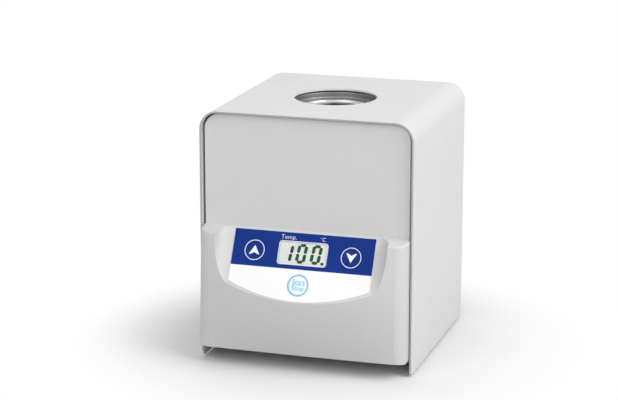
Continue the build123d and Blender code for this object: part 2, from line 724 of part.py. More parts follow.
# The mains inlet: an eared flange, a body behind the panel, the socket and the slot for the fuse drawer
SOCKET_Z = INLET_Z + 7
DRAWER_Z = INLET_Z - 15
INLET_DEPTH = 24.0
inlet_face = rear_plane(INLET_X, 0)
FLANGE = 2.2
with BuildPart() as mains_inlet:
    with BuildSketch(inlet_face):
        with Locations((0, INLET_Z)):
            RectangleRounded(32, 52, 3)
            RectangleRounded(50, 13, 5)
    extrude(amount=-FLANGE)
    fillet(mains_inlet.faces().sort_by(Axis.Y)[-1].edges(), radius=0.6)
    with BuildSketch(inlet_face):
        with Locations((0, INLET_Z)):
            Rectangle(27.8, 47.2)
    extrude(amount=INLET_DEPTH)
    with BuildSketch(inlet_face.offset(-FLANGE)):
        with BuildLine():
            Polyline(
                (-12.2, SOCKET_Z - 8.2), (12.2, SOCKET_Z - 8.2), (12.2, SOCKET_Z + 3.6),
                (7.4, SOCKET_Z + 8.2), (-7.4, SOCKET_Z + 8.2), (-12.2, SOCKET_Z + 3.6), close=True,
            )
        make_face()
    extrude(amount=18, mode=Mode.SUBTRACT)
    with BuildSketch(inlet_face.offset(-FLANGE)):
        with Locations((0, DRAWER_Z)):
            Rectangle(23, 9.4)
    extrude(amount=FLANGE + 20, mode=Mode.SUBTRACT)
    with BuildSketch(inlet_face.offset(-FLANGE)):
        with Locations((0, INLET_Z)):
            with GridLocations(40, 1, 2, 1):
                Circle(1.7)
    extrude(amount=FLANGE, mode=Mode.SUBTRACT)
save(mains_inlet, "mains_inlet")

with BuildPart() as inlet_pins:
    with BuildSketch(inlet_face.offset(18 - FLANGE)):
        with Locations((0, SOCKET_Z + 2.6), (-7, SOCKET_Z - 2.6), (7, SOCKET_Z - 2.6)):
            RectangleRounded(2, 4, 0.8)
    extrude(amount=-13)
save(inlet_pins, "inlet_pins")

with BuildPart() as inlet_screws:
    with BuildSketch(inlet_face.offset(-FLANGE)):
        with Locations((0, INLET_Z)):
            with GridLocations(40, 1, 2, 1):
                Circle(2.8)
    extrude(amount=-1.6)
    with BuildSketch(inlet_face.offset(-FLANGE)):
        with Locations((0, INLET_Z)):
            with GridLocations(40, 1, 2, 1):
                Circle(1.5)
    extrude(amount=8)
save(inlet_screws, "inlet_screws")

# The fuse drawer: a finger plate outside and an open tray inside, with the fuse across it
with BuildPart() as fuse_drawer:
    with BuildSketch(inlet_face.offset(-FLANGE - 1.4)):
        with Locations((0, DRAWER_Z)):
            RectangleRounded(25, 11, 1.2)
    extrude(amount=1.3)
    with BuildSketch(inlet_face.offset(-FLANGE - 0.2)):
        with Locations((0, DRAWER_Z)):
            Rectangle(22.4, 8.6)
    extrude(amount=18)
    with BuildSketch(Plane(origin=(INLET_X, REAR_Y - 9, DRAWER_Z + 4.3))):
        Rectangle(20.6, 8)
    extrude(amount=-6.4, mode=Mode.SUBTRACT)
save(fuse_drawer, "fuse_drawer")

with BuildPart() as fuse:
    for start, length, radius in ((-10, 5, 2.6), (-5, 10, 2.4), (5, 5, 2.6)):
        along = Plane(origin=(INLET_X + start, REAR_Y - 9, DRAWER_Z + 0.5), x_dir=(0, 1, 0), z_dir=(1, 0, 0))
        with BuildSketch(along):
            Circle(radius)
        extrude(amount=length)
save(fuse, "fuse")

# The mains switch: a bezel and box, and a rocker with a dished top on two stub pins
ROCKER_LEAN = 12.0
PIVOT_Y = REAR_Y + 0.2
with BuildPart() as switch_frame:
    with BuildSketch(rear_plane(SWITCH_X, SWITCH_Z)):
        RectangleRounded(22, 15.6, 1.2)
    extrude(amount=-1.5)
    with BuildSketch(rear_plane(SWITCH_X, SWITCH_Z)):
        Rectangle(19.0, 12.8)
    extrude(amount=15)
    with BuildSketch(rear_plane(SWITCH_X, SWITCH_Z).offset(-1.5)):
        Rectangle(15.6, 9.6)
    extrude(amount=11, mode=Mode.SUBTRACT)
    with BuildSketch(level(SWITCH_Z, SWITCH_X, PIVOT_Y)):
        Circle(1.05)
    extrude(amount=6.0, both=True, mode=Mode.SUBTRACT)
    with BuildSketch(rear_plane(SWITCH_X, SWITCH_Z).offset(15)):
        with GridLocations(9, 1, 2, 1):
            Rectangle(0.8, 4.8)
    extrude(amount=8)
save(switch_frame, "switch_frame")

with BuildPart() as power_rocker:
    with BuildSketch(level(SWITCH_Z - 4.5, SWITCH_X, PIVOT_Y)):
        with BuildLine():
            ThreePointArc((-7, -0.8), (0, -6), (7, -0.8))
            Line((7, -0.8), (7, 2.4))
            ThreePointArc((7, 2.4), (0, 0.9), (-7, 2.4))
            Line((-7, 2.4), (-7, -0.8))
        make_face()
    extrude(amount=9)
    with BuildSketch(level(SWITCH_Z - 5.5, SWITCH_X, PIVOT_Y)):
        Circle(1.0)
    extrude(amount=11)
power_rocker.part = power_rocker.part.rotate(Axis((SWITCH_X, PIVOT_Y, 0), (0, 0, 1)), -ROCKER_LEAN)
save(power_rocker, "power_rocker")

with BuildPart() as earth_stud:
    with BuildSketch(level(BASE_BOTTOM - 1.8)):
        with Locations(earth_place):
            Circle(3.2)
    extrude(amount=1.8)
    with BuildSketch(level(BASE_BOTTOM)):
        with Locations(earth_place):
            Circle(1.6)
    extrude(amount=12)
    with BuildSketch(level(BASE_TOP)):
        with Locations(earth_place):
            RegularPolygon(3.6, 6)
    extrude(amount=3)
save(earth_stud, "earth_stud")

with BuildPart() as cover_screws:
    for x, z in cover_screw_places:
        with BuildSketch(rear_plane(x, z, BACK_Y)):
            Circle(3)
        extrude(amount=-1.8)
        with BuildSketch(rear_plane(x, z, BACK_Y)):
            Circle(1.25)
        extrude(amount=6)
save(cover_screws, "cover_screws")

# Rubber feet: tapered, with a recess for the screw's head
for foot_name, foot_place in foot_places.items():
    with BuildPart() as foot:
        with BuildSketch(level(0)):
            with Locations(foot_place):
                Circle(7)
        with BuildSketch(level(BASE_BOTTOM)):
            with Locations(foot_place):
                Circle(8)
        loft()
        with Locations(level(0, *foot_place)):
            with Locations(Plane(origin=(0, 0, 0), z_dir=(0, 0, -1))):
                CounterBoreHole(radius=1.7, counter_bore_radius=3.8, counter_bore_depth=3.5)
    save(foot, foot_name)

with BuildPart() as foot_screws:
    for place in foot_places.values():
        with BuildSketch(level(3.5)):
            with Locations(place):
                Circle(3)
        extrude(amount=-2.2)
        with BuildSketch(level(3.5)):
            with Locations(place):
                Circle(1.6)
        extrude(amount=11)
        with BuildSketch(level(BASE_TOP)):
            with Locations(place):
                RegularPolygon(3.2, 6)
        extrude(amount=2.4)
save(foot_screws, "foot_screws")
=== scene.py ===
"""Looks for a bench-top glass bead sterilizer: white powder-coated sheet, a moulded front cover with a
printed console, and a stainless well filled with glass beads. The scene is in metres. The sizes named
here are in millimetres and are turned into metres by MM, apart from the room, its lamps and the
camera's range, which are in metres.
"""

import json
import math
import random

import bmesh
import bpy
from mathutils import Matrix, Vector


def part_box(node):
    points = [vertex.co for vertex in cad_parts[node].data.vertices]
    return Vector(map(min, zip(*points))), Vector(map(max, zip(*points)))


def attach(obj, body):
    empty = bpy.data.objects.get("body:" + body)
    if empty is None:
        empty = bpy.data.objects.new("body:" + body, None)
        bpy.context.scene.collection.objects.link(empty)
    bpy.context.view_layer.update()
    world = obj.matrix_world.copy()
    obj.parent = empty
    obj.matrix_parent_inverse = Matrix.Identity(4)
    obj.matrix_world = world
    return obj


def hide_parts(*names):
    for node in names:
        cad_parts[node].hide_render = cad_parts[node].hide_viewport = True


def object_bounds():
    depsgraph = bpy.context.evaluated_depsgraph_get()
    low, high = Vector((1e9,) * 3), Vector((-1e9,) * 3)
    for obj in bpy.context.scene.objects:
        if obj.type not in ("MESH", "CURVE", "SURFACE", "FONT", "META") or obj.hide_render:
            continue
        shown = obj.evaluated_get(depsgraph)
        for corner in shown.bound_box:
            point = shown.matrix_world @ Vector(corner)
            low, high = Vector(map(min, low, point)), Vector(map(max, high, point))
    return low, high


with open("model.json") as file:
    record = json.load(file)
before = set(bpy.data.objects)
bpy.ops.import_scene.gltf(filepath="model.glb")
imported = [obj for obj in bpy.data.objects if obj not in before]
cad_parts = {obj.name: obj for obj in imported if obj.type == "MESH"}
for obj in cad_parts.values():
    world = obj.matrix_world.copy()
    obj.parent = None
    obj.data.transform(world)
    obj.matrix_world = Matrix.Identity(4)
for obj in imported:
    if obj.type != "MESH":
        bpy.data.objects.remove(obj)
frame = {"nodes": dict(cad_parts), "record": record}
cad_low, cad_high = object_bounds()
nodes = frame["nodes"]
random.seed(7)

MM = 0.001

# The tilted console: the middle of its film's straight bottom line, and its own axes
CONSOLE_TILT = math.radians(28.46)
CONSOLE_ORIGIN = Vector((0, -79.48, 62.5)) * MM
CONSOLE_UP = Vector((0, math.sin(CONSOLE_TILT), math.cos(CONSOLE_TILT)))
CONSOLE_OUT = Vector((0, -math.cos(CONSOLE_TILT), math.sin(CONSOLE_TILT)))

# Heights above the console's floor, and places on the console as (across, up its slope)
FILM_TOP = 0.35
KEY_TOP = 0.5
BAND_BOTTOM = 11.2
WINDOW = (33.8, 15.6)
WINDOW_UP = 22.4
UP_KEY = (-34.1, 22.3)
DOWN_KEY = (34.1, 22.3)
START_STOP_KEY = (0, 0.4)

# The ink and the shapes in it; a ring is (outer radius, inner radius)
INK = 0.04
BLUE_KEY_RING = (7.08, 6.6)
WHITE_KEY_RING = (7.25, 6.4)
ARROWHEAD = [(0, 3.4), (3.6, -2.8), (3.1, -3.2), (0, -1.5), (-3.1, -3.2), (-3.6, -2.8)]
KEY_LINE_REACH = 4.3
KEY_LINE_WIDTH = 0.42
KEY_WORD_SIZE = 4.7
KEY_WORD_RISE = 2.1
KEY_WORD_WEIGHT = 0.06
WINDOW_LINE = 0.9
WINDOW_CORNERS = (2.0, 1.6)
FILM_WORD_UP = 33.1
FILM_WORD_WEIGHT = -0.05
TEMPERATURE_WORD = ("Temp.", 4.4, -11.1)
CELSIUS_SIGN = ("°C", 3.8, 12.9)

# The display's recess, the pale plate in it and the digits' strokes, by the middle of each
DISPLAY_DEPTH = 0.15
DISPLAY_PLATE = 0.09
PLATE_MARGIN = 1.16
PLATE_CORNER = 1.15
DIGITS_SHIFT = (0.25, -0.3)
UPRIGHT_STROKES = [
    (-8.1, 25.1), (-8.8, 19.6), (-3.3, 25.7), (-3.8, 20.0), (1.6, 25.4), (1.1, 19.7),
    (7.1, 25.9), (6.4, 20.3), (12.0, 25.5), (11.4, 19.9),
]
UPRIGHT_REACH = 1.45
UPRIGHT_WIDTH = 2.3
UPRIGHT_LEAN = 0.1
LEVEL_STROKES = [(-0.6, 28.5), (-1.6, 16.9), (9.6, 28.5), (8.8, 17.0)]
LEVEL_REACH = 0.95
LEVEL_WIDTH = 2.1
POINT_PLACE = (14.1, 16.8)
POINT_RADIUS = 1.1

# The front panel's side returns: narrower at both ends, and drawn in under the cover's round corners
SHEET = 1.25
RETURN_DEPTH = 8.0
RETURN_BEND = 1.4
BEND_TURNS = (0.5, 1.0, 1.5)
RETURN_GAP = 0.02
RETURN_SPAN = (24.0, 167.0)
RETURN_CHAMFER = 4.0
LOWER_END_SHARE = 0.6
UPPER_END_SHARE = 0.7
UPPER_END_LEAN = 0.8

# The well: its axis, its dish wall, its cup's rim and lip, the rim's painted highlight, the wall's and
# cup's painted shade
WELL_Y = 7.6
WELL_RADIUS = 20.0
DISH_WALL = 30.0
DISH_WALL_ROUND = 0.7
CUP_RIM = 24.3
CUP_LIP = 167.2
CUP_RIM_PAINTED_HIGHLIGHT = 1.35
CUP_INSIDE_PAINTED_SHADE = 0.14
DISH_WALL_PAINTED_SHADE = 0.4
DISH_WALL_ROUGHNESS = 0.5

# The loose beads: each layer has its radius and its depth under the fill's own level. Rows lie closer
# than the beads in them, by BEAD_ROW, and each layer after the first misses a few more beads.
BEAD_RADIUS = 1.0
BEAD_SIZES = (0.85, 1.0)
BEAD_LAYERS = ((19.0, 0.9), (18.0, -0.5), (11.5, -1.9))
BEAD_PITCH = BEAD_RADIUS * 2.02
BEAD_ROW = 0.87
BEAD_HEAP = 1.4
BEAD_MARGIN = 0.2
BEAD_SCATTER = 0.42
BEAD_RISE = 0.35
BEADS_MISSING = 0.08

# The screws at the back: a head is (radius, height) and a shank (radius, length). The two slots of a
# recess are as long and as wide as these shares of the head's radius, and are cut from a block as high
# as the last share of its height, half of it in the head.
COVER_SCREW_X = 68.15
COVER_SCREW_HEIGHTS = (30, 150)
COVER_SCREW_HEAD = (3.05, 2.0)
COVER_SCREW_SHANK = (1.25, 6.0)
INLET_SCREW_X = 20
INLET_HEIGHT = 50
INLET_SCREW_HEAD = (2.85, 1.8)
INLET_SCREW_SHANK = (1.5, 8.0)
SCREW_SIDES = 32
DOME_STEPS = 7
DOME_DRAW_IN = 0.38
RECESS_TURN = 0.4
RECESS_SHARES = (1.15, 0.24, 1.1)

# The mains switch: the rocker's pivot, its tilt at rest and the marks on its two halves
SWITCH_X = 34
SWITCH_HEIGHT = 50
SWITCH_PROUD = 0.2
ROCKER_TILT = math.radians(12)
MARK_ACROSS = 3.9
MARK_OUT = 1.62
MARK_THICKNESS = 0.1
ON_REACH = 1.3
ON_WIDTH = 0.45
OFF_RING = (1.5, 1.1)

# Where the paint is darkened by painted shade: the cover's cut front edge, and the moulding's faint
# shoulder lines
FRONT_EDGE = cad_low.y + 21.06 * MM
SHOULDER = 65.5
SHOULDER_LINE = 0.22

# Colours, and the gloss of everything printed
WHITE_COAT = (0.688, 0.688, 0.688)
WHITE_MOULDING = (0.630, 0.630, 0.630)
PRINT_BLUE = (0.007, 0.034, 0.235)
PRINT_WHITE = (0.95, 0.95, 0.95)
PRINT_CYAN = (0.10, 0.57, 0.82)
PRINT_GLOSS = 0.05
DIGIT_GREEN = (0.0, 0.085, 0.014)

# How large the slow changes of colour and of gloss are across, and how much the gloss changes
DRIFT_SIZE = 28
GLOSS_SIZE = 9
GLOSS_RANGE = 0.06

# The room: how pale its floor is, where it runs out to white, and what it throws back
FLOOR_SIZE = 6.0
FLOOR_PALE = 0.8
FLOOR_FADE = (0.085, 0.19)
FLOOR_BOUNCE = 0.58
ROOM_LIGHT = 0.4

# The lamps: a place, a side and a power each, all turned to the middle of the object
KEY_LAMP = ((1.2, -0.32, 1.1), 1.1, 18.6)
FILL_LAMP = ((-0.36, -1.44, 1.08), 1.2, 10.8)
BACK_LAMP = ((-0.6, 1.4, 0.4), 1.2, 7.0)
LAMP_TARGET = Vector((0, 0, 0.09))

# The photograph's viewpoint, solved from the edges of the object's box
CAMERA_PLACE = Vector((404.254, -1345.61, 462.534)) * MM
CAMERA_LOOK = Vector((-0.28951, 0.92450, -0.24797))
CAMERA_LENS = 120.16
CAMERA_SENSOR = 36.0
CAMERA_RANGE = (0.05, 50.0)


# Nodes that the materials are put together from

def new_material(name, colour, roughness, metallic=0.0):
    material = bpy.data.materials.new(name)
    material.use_nodes = True
    shader = material.node_tree.nodes["Principled BSDF"]
    shader.inputs["Base Color"].default_value = opaque(colour)
    shader.inputs["Roughness"].default_value = roughness
    shader.inputs["Metallic"].default_value = metallic
    return material, material.node_tree, shader


def opaque(colour):
    """A colour, or a level of grey, with its alpha."""
    if hasattr(colour, "__len__"):
        return (*colour, 1)
    return (colour, colour, colour, 1)


def shade(colour, factor):
    """A lighter or darker colour, up to white."""
    return tuple(min(1.0, channel * factor) for channel in colour)


def add_node(tree, kind, **values):
    """A shader node; each value goes to the socket of that name, with _ for a space."""
    node = tree.nodes.new(kind)
    for key, value in values.items():
        node.inputs[key.replace("_", " ")].default_value = value
    return node


def feed(tree, value, socket):
    """Links a socket to a socket, or writes a number into it."""
    if hasattr(value, "links"):
        tree.links.new(value, socket)
    else:
        socket.default_value = value


def calculate(tree, operation, *operands):
    """The result of a Math node for sockets or numbers."""
    node = tree.nodes.new("ShaderNodeMath")
    node.operation = operation
    for operand, socket in zip(operands, node.inputs):
        feed(tree, operand, socket)
    return node.outputs[0]


def length_of(tree, vector):
    node = tree.nodes.new("ShaderNodeVectorMath")
    node.operation = "LENGTH"
    tree.links.new(vector, node.inputs[0])
    return node.outputs["Value"]


def place_of(tree):
    return tree.nodes.new("ShaderNodeTexCoord").outputs["Object"]


def axes_of(tree):
    """The place on the object as its X, Y and Z sockets."""
    separate = tree.nodes.new("ShaderNodeSeparateXYZ")
    tree.links.new(place_of(tree), separate.inputs["Vector"])
    return separate.outputs


def join_axes(tree, x, y):
    """A vector of two sockets."""
    joined = tree.nodes.new("ShaderNodeCombineXYZ")
    tree.links.new(x, joined.inputs["X"])
    tree.links.new(y, joined.inputs["Y"])
    return joined.outputs[0]


def stretched(tree, scale):
    """The place on the object, scaled along each axis, so that a texture gets a direction."""
    mapping = tree.nodes.new("ShaderNodeMapping")
    mapping.inputs["Scale"].default_value = scale
    tree.links.new(place_of(tree), mapping.inputs["Vector"])
    return mapping.outputs[0]


def noise(tree, size, vector=None, detail=3.0):
    """Soft noise whose blotches are about that many millimetres across."""
    texture = add_node(tree, "ShaderNodeTexNoise", Scale=1 / (size * MM), Detail=detail)
    tree.links.new(vector or place_of(tree), texture.inputs["Vector"])
    return texture.outputs["Fac"]


def between(tree, factor, low, high, start=0.3, end=0.7):
    """Two colours, or two greys, mixed by a factor that runs from start to end."""
    ramp = tree.nodes.new("ShaderNodeValToRGB")
    first, last = ramp.color_ramp.elements
    first.position, last.position = start, end
    first.color, last.color = opaque(low), opaque(high)
    tree.links.new(factor, ramp.inputs["Fac"])
    return ramp.outputs["Color"]


def overlay(tree, factor, under, over):
    """The colour, grey or socket over lies on the one under, where the factor is 1."""
    fields = tree.nodes.new("ShaderNodeMix")
    fields.data_type = "RGBA"
    tree.links.new(factor, fields.inputs["Factor"])
    for socket, value in (("A", under), ("B", over)):
        feed(tree, value if hasattr(value, "links") else opaque(value), fields.inputs[socket])
    return fields.outputs["Result"]


def varied(tree, factor, colour, darkest, lightest=1.0, start=0.3, end=0.7):
    """One colour in lighter and darker shades, by a factor."""
    return between(tree, factor, shade(colour, darkest), shade(colour, lightest), start, end)


def bump(tree, shader, height, depth, strength=0.5):
    node = add_node(tree, "ShaderNodeBump", Strength=strength, Distance=depth * MM)
    tree.links.new(height, node.inputs["Height"])
    tree.links.new(node.outputs["Normal"], shader.inputs["Normal"])


# Materials

def finish_of(
    name, colour, roughness, grain=0.6, depth=0.02, drift=0.03, specular=0.5, mark=None, painted_shade_factor=1.0,
):
    """A surface whose colour drifts slowly, whose gloss is uneven and whose grain is grain mm across.
    Where mark gives 1, the colour is darkened by the given factor, as painted shade.
    """
    material, tree, shader = new_material(name, colour, roughness)
    shader.inputs["Specular IOR Level"].default_value = specular
    surface = varied(tree, noise(tree, DRIFT_SIZE), colour, darkest=1 - drift, lightest=1 + drift)
    if mark is not None:
        # painted shade: where mark is 1 the colour is darkened
        surface = overlay(tree, mark(tree), surface, shade(colour, painted_shade_factor))
    tree.links.new(surface, shader.inputs["Base Color"])
    gloss = between(tree, noise(tree, GLOSS_SIZE), roughness - GLOSS_RANGE, roughness + GLOSS_RANGE)
    tree.links.new(gloss, shader.inputs["Roughness"])
    bump(tree, shader, noise(tree, grain), depth)
    return material


def painted_shade_on_cut_edge(tree):
    """1 on the cover's cut front edge, which is darkened there as painted shade."""
    return calculate(tree, "LESS_THAN", axes_of(tree)["Y"], FRONT_EDGE)


def painted_shade_on_shoulders(tree):
    """1 on the narrow bands where the moulding's rounded ends begin, darkened there as painted shade along
    the crease.
    """
    from_middle = calculate(tree, "ABSOLUTE", axes_of(tree)["X"])
    return calculate(tree, "COMPARE", from_middle, SHOULDER * MM, SHOULDER_LINE * MM)


def from_well_axis(tree):
    """Distance from the well's axis, and height, as two sockets."""
    axes = axes_of(tree)
    from_axis = calculate(tree, "SUBTRACT", axes["Y"], WELL_Y * MM)
    return length_of(tree, join_axes(tree, axes["X"], from_axis)), axes["Z"]


def turned_metal(name, colour, roughness):
    """Metal turned or spun about the well's axis: fine rings that follow the radius and the height,
    a painted highlight on its rim, a dull dish wall in painted shade and painted shade inside the cup.
    """
    material, tree, shader = new_material(name, colour, roughness, metallic=1.0)
    radius, height = from_well_axis(tree)
    lines = noise(tree, size=0.25, vector=join_axes(tree, radius, height), detail=2.0)
    rings = varied(tree, lines, colour, darkest=0.97, lightest=1.02)
    on_rim = calculate(tree, "LESS_THAN", radius, CUP_RIM * MM)
    on_wall = calculate(tree, "GREATER_THAN", radius, (DISH_WALL - DISH_WALL_ROUND) * MM)
    in_cup = calculate(tree, "LESS_THAN", height, CUP_LIP * MM)
    # painted highlight: the rim round the mouth is made brighter
    surface = overlay(tree, on_rim, rings, shade(colour, CUP_RIM_PAINTED_HIGHLIGHT))
    # painted shade: the dish wall is darkened
    surface = overlay(tree, on_wall, surface, shade(colour, DISH_WALL_PAINTED_SHADE))
    # painted shade: the inside of the cup is made nearly black
    surface = overlay(tree, in_cup, surface, shade(colour, CUP_INSIDE_PAINTED_SHADE))
    tree.links.new(surface, shader.inputs["Base Color"])
    gloss = between(tree, noise(tree, size=7), low=roughness - 0.05, high=roughness + 0.07)
    tree.links.new(overlay(tree, on_wall, gloss, DISH_WALL_ROUGHNESS), shader.inputs["Roughness"])
    bump(tree, shader, lines, depth=0.002, strength=0.08)
    return material


def rolled_metal(name, colour, roughness, direction=(1, 12, 12)):
    """Sheet with a rolling grain that runs along the axis with the smallest number."""
    material, tree, shader = new_material(name, colour, roughness, metallic=1.0)
    grain = noise(tree, size=6, vector=stretched(tree, direction))
    surface = varied(tree, grain, colour, darkest=0.85, lightest=1.08)
    tree.links.new(surface, shader.inputs["Base Color"])
    gloss = between(tree, noise(tree, size=12), low=roughness - 0.07, high=roughness + 0.07)
    tree.links.new(gloss, shader.inputs["Roughness"])
    bump(tree, shader, grain, depth=0.006, strength=0.4)
    return material


def printed_film(name, blue, white):
    """The console film: blue above a straight line, white below it, with a fine texture all over."""
    material, tree, shader = new_material(name, blue, roughness=0.4)
    shader.inputs["Specular IOR Level"].default_value = PRINT_GLOSS
    along = tree.nodes.new("ShaderNodeVectorMath")
    along.operation = "DOT_PRODUCT"
    along.inputs[1].default_value = CONSOLE_UP
    tree.links.new(place_of(tree), along.inputs[0])
    border = CONSOLE_ORIGIN.dot(CONSOLE_UP) + BAND_BOTTOM * MM
    above = calculate(tree, "GREATER_THAN", along.outputs["Value"], border)
    band = varied(tree, noise(tree, size=14), blue, darkest=0.96, lightest=1.05)
    tree.links.new(overlay(tree, above, white, band), shader.inputs["Base Color"])
    gloss = between(tree, noise(tree, size=6), low=0.36, high=0.46)
    tree.links.new(gloss, shader.inputs["Roughness"])
    bump(tree, shader, noise(tree, size=0.35), depth=0.004, strength=0.35)
    return material


def board_surface(name, colour, copper):
    """Solder resist over tracks: two greens in a broken grid."""
    material, tree, shader = new_material(name, colour, roughness=0.35)
    tracks = add_node(tree, "ShaderNodeTexVoronoi", Scale=260.0)
    tracks.distance = "MANHATTAN"
    tree.links.new(place_of(tree), tracks.inputs["Vector"])
    surface = between(tree, tracks.outputs["Distance"], colour, copper, start=0.32, end=0.36)
    tree.links.new(surface, shader.inputs["Base Color"])
    gloss = between(tree, noise(tree, size=4), low=0.28, high=0.42)
    tree.links.new(gloss, shader.inputs["Roughness"])
    bump(tree, shader, tracks.outputs["Distance"], depth=0.03, strength=0.3)
    return material


def fibre_surface(name, colour):
    """Pressed ceramic fibre: felted strands and a soft, dusty surface."""
    material, tree, shader = new_material(name, colour, roughness=0.95)
    strands = noise(tree, size=2.2, vector=stretched(tree, (1, 1, 5)), detail=8.0)
    tree.links.new(varied(tree, strands, colour, darkest=0.82), shader.inputs["Base Color"])
    bump(tree, shader, strands, depth=0.3, strength=0.8)
    return material


def clear_surface(name, colour, alpha):
    """A thin clear pane: mostly seen through, with its own gloss and a faint unevenness."""
    roughness = 0.04
    material, tree, shader = new_material(name, colour, roughness)
    shader.inputs["Alpha"].default_value = alpha
    shader.inputs["Specular IOR Level"].default_value = 0.3
    tint = varied(tree, noise(tree, size=18), colour, darkest=0.97)
    gloss = between(tree, noise(tree, size=8), low=roughness, high=roughness + 0.05)
    tree.links.new(tint, shader.inputs["Base Color"])
    tree.links.new(gloss, shader.inputs["Roughness"])
    bump(tree, shader, noise(tree, size=12), depth=0.01, strength=0.1)
    return material


def bead_glass(name, colour):
    """Soda-lime glass beads: nearly colourless, each a little different in tint and gloss."""
    material, tree, shader = new_material(name, colour, roughness=0.06)
    shader.inputs["Transmission Weight"].default_value = 0.15
    shader.inputs["IOR"].default_value = 1.51
    cells = add_node(tree, "ShaderNodeTexVoronoi", Scale=480.0)
    tree.links.new(place_of(tree), cells.inputs["Vector"])
    grey = tree.nodes.new("ShaderNodeRGBToBW")
    tree.links.new(cells.outputs["Color"], grey.inputs[0])
    tint = varied(tree, grey.outputs[0], colour, darkest=0.8, start=0.1, end=0.9)
    gloss = between(tree, grey.outputs[0], low=0.04, high=0.14, start=0.1, end=0.9)
    tree.links.new(tint, shader.inputs["Base Color"])
    tree.links.new(gloss, shader.inputs["Roughness"])
    bump(tree, shader, noise(tree, size=0.8), depth=0.01, strength=0.2)
    return material


def windings(name, core, winding):
    """Dark laminated core round a taped coil: fine upright lines on the core."""
    material, tree, shader = new_material(name, core, roughness=0.5)
    plates = add_node(tree, "ShaderNodeTexWave", Scale=220.0, Distortion=0.4)
    plates.bands_direction = "X"
    tree.links.new(place_of(tree), plates.inputs["Vector"])
    tree.links.new(between(tree, plates.outputs["Fac"], core, winding), shader.inputs["Base Color"])
    bump(tree, shader, plates.outputs["Fac"], depth=0.05)
    return material


def ink(name, colour, roughness, drift):
    """A thin, even ink with hardly any gloss of its own."""
    return finish_of(name, colour, roughness, grain=0.3, depth=0.003, drift=drift, specular=PRINT_GLOSS)


materials = {
    "white_coat": finish_of(
        "white_coat", WHITE_COAT, roughness=0.42, grain=0.9, depth=0.012, drift=0.012,
        # painted shade on the cover's cut front edge
        mark=painted_shade_on_cut_edge, painted_shade_factor=0.62,
    ),
    "white_moulding": finish_of(
        "white_moulding", WHITE_MOULDING, roughness=0.5, grain=0.35, depth=0.012, drift=0.012,
        # painted shade along the moulding's shoulder lines
        mark=painted_shade_on_shoulders, painted_shade_factor=0.93,
    ),
    "film_print": printed_film("film_print", PRINT_BLUE, PRINT_WHITE),
    "key_blue": finish_of(
        "key_blue", PRINT_BLUE, roughness=0.4, grain=0.35, depth=0.004, specular=PRINT_GLOSS,
    ),
    "key_white": finish_of(
        "key_white", PRINT_WHITE, roughness=0.4, grain=0.35, depth=0.004, drift=0.008,
        specular=PRINT_GLOSS,
    ),
    "clear_pane": clear_surface("clear_pane", (0.9, 0.93, 0.92), alpha=0.012),
    "display_grey": finish_of(
        "display_grey", (0.748, 0.747, 0.745), roughness=0.5, grain=0.5, depth=0.003, drift=0.01,
        specular=PRINT_GLOSS,
    ),
    "board_green": board_surface("board_green", (0.01, 0.12, 0.045), copper=(0.02, 0.22, 0.08)),
    "black_plastic": finish_of(
        "black_plastic", (0.014, 0.014, 0.015), roughness=0.42, grain=0.4, depth=0.03,
    ),
    "stainless": turned_metal("stainless", (0.57, 0.57, 0.57), roughness=0.33),
    "zinc_steel": rolled_metal("zinc_steel", (0.46, 0.47, 0.48), roughness=0.3),
    "beads_glass": bead_glass("beads_glass", (0.92, 0.94, 0.94)),
    "mica": rolled_metal("mica", (0.50, 0.46, 0.38), roughness=0.45, direction=(12, 12, 1)),
    "ceramic_fibre": fibre_surface("ceramic_fibre", (0.84, 0.82, 0.77)),
    "aluminium": rolled_metal("aluminium", (0.78, 0.78, 0.79), roughness=0.38, direction=(12, 12, 1)),
    "relay_blue": finish_of("relay_blue", (0.02, 0.09, 0.32), roughness=0.35, grain=0.3),
    "capacitor_red": finish_of("capacitor_red", (0.32, 0.07, 0.02), roughness=0.4, grain=0.5),
    "transformer_core": windings("transformer_core", (0.02, 0.02, 0.022), winding=(0.06, 0.055, 0.05)),
    "terminal_green": finish_of("terminal_green", (0.01, 0.20, 0.06), roughness=0.4, grain=0.4),
    "brass": rolled_metal("brass", (0.72, 0.52, 0.22), roughness=0.3),
    "fuse_glass": clear_surface("fuse_glass", (0.85, 0.87, 0.86), alpha=0.5),
    "foot_rubber": finish_of(
        "foot_rubber", (0.018, 0.018, 0.018), roughness=0.8, grain=0.5, depth=0.06,
    ),
}
white_ink = ink("white_ink", PRINT_WHITE, roughness=0.45, drift=0.01)
cyan_ink = ink("cyan_ink", PRINT_CYAN, roughness=0.45, drift=0.02)
green_ink = ink("green_ink", DIGIT_GREEN, roughness=0.5, drift=0.03)

for subpart in frame["record"]["subparts"]:
    mesh = nodes[subpart["node"]].data
    mesh.materials.clear()
    mesh.materials.append(materials[subpart["material_slot"]])


# Pieces, and the outlines and rings that they are made from

def add_piece(name, mesh, material, body, place=None):
    piece = bpy.data.objects.new(name, mesh)
    bpy.context.scene.collection.objects.link(piece)
    mesh.materials.clear()
    mesh.materials.append(material)
    if place is not None:
        piece.matrix_world = place
    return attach(piece, body)


def piece_of(name, form, material, body, place=None):
    """A piece from a finished bmesh."""
    mesh = bpy.data.meshes.new(name)
    form.to_mesh(mesh)
    form.free()
    return add_piece(name, mesh, material, body, place)


def skin(form, rings):
    """Joins rings of equally many corners into one closed shape, with both ends filled."""
    for lower, upper in zip(rings, rings[1:]):
        for index in range(len(lower)):
            after = (index + 1) % len(lower)
            form.faces.new((lower[index], lower[after], upper[after], upper[index]))
    form.faces.new(rings[0][::-1])
    form.faces.new(rings[-1])


